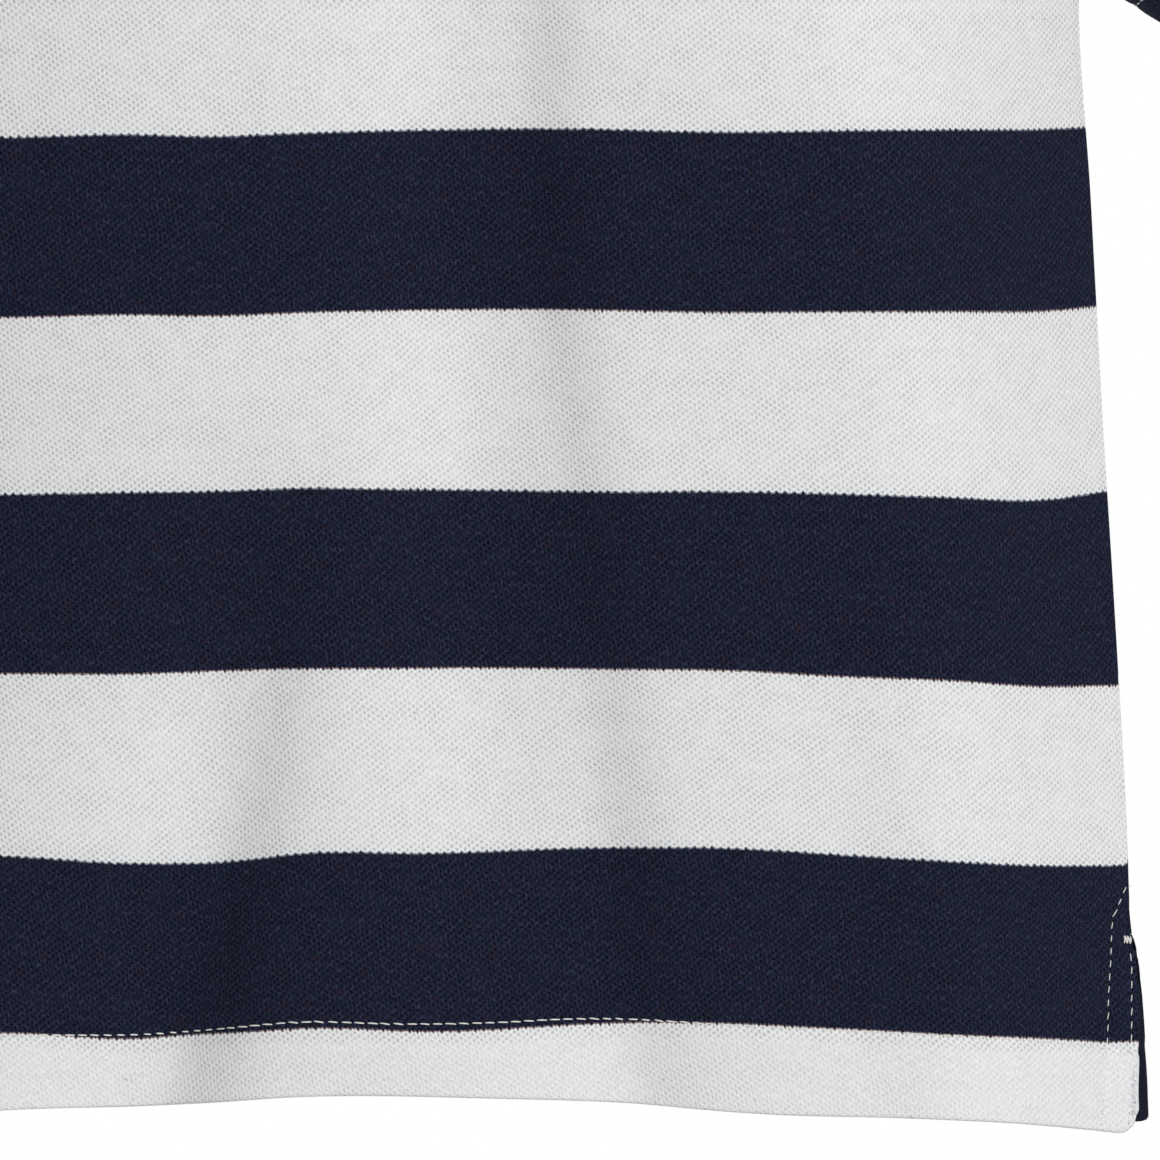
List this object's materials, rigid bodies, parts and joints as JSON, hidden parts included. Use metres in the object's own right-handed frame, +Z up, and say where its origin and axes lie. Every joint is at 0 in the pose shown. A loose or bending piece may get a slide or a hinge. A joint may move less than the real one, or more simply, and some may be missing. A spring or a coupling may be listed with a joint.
{
  "type": "polo shirt",
  "caption": "Child's short-sleeved polo shirt in striped pique, hollow in its worn shape, with a folded collar, buttoned placket and taped side vents.",
  "frame": {"origin": "middle of the neck opening, level with the two points where the shoulder seams reach the collar, where a wearer's neck and shoulders hold the shirt up", "axes": "+Z up, the chest faces -Y, the wearer's left is at +X"},
  "size_m": [0.519, 0.1109, 0.4628],
  "materials": {
    "striped_pique": "white and navy striped cotton pique",
    "collar_knit": "navy flat-knit cotton",
    "button_shell": "pale pearly resin",
    "vent_tape": "navy cotton twill tape"
  },
  "bodies": {
    "root": {"front": "striped_pique", "back": "striped_pique", "sleeve_left": "striped_pique", "sleeve_right": "striped_pique", "collar": "collar_knit", "placket": "striped_pique", "placket_under": "striped_pique", "button_upper": "button_shell", "button_lower": "button_shell", "vent_tape_front_left": "vent_tape", "vent_tape_front_right": "vent_tape", "vent_tape_back_left": "vent_tape", "vent_tape_back_right": "vent_tape"}
  },
  "joints": []
}
